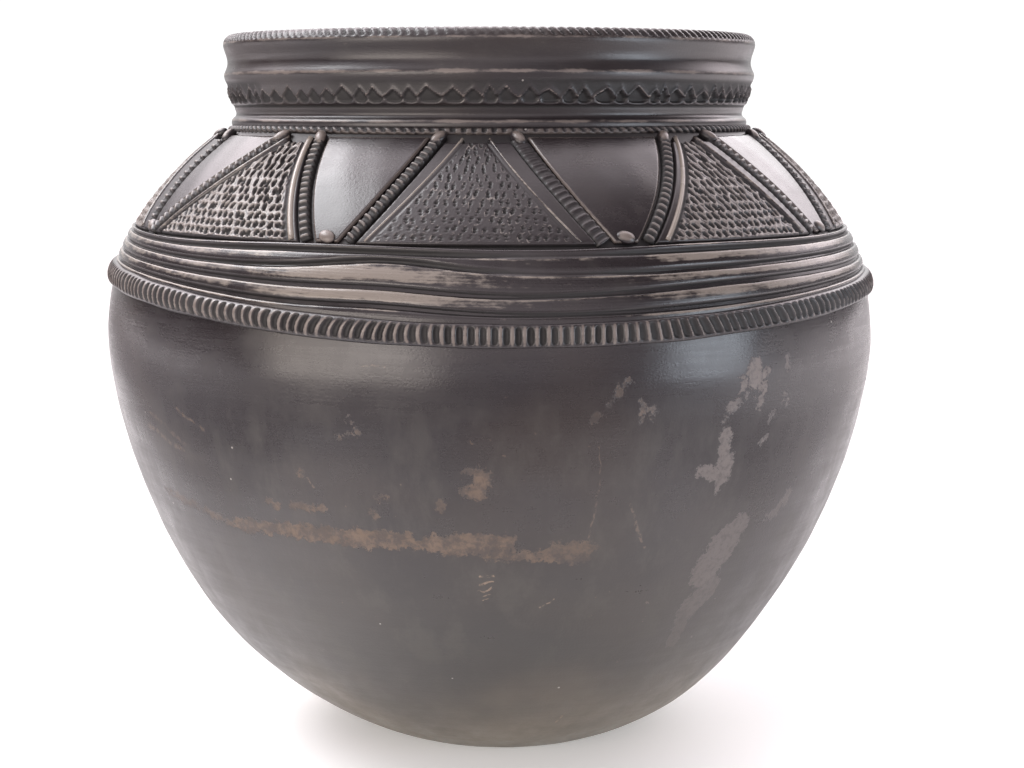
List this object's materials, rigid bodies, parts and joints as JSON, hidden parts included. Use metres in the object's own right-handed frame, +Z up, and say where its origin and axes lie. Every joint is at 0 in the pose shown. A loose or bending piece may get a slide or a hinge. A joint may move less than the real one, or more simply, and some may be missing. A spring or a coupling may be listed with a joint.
{
  "type": "water pot",
  "caption": "Round-bodied fired-clay water pot with a short neck, a notched cordon, flat ribs and a carved shoulder of laddered triangles.",
  "frame": {"origin": "middle of the flat spot that the pot stands on", "axes": "+Z up the pot's axis through its mouth, -Y towards the side that the picture shows"},
  "size_m": [0.4038, 0.4038, 0.363],
  "materials": {
    "fired_clay": "smoke-blackened clay, burnished to a soft sheen, worn to tan in patches"
  },
  "bodies": {
    "root": {"pot": "fired_clay"}
  },
  "joints": []
}
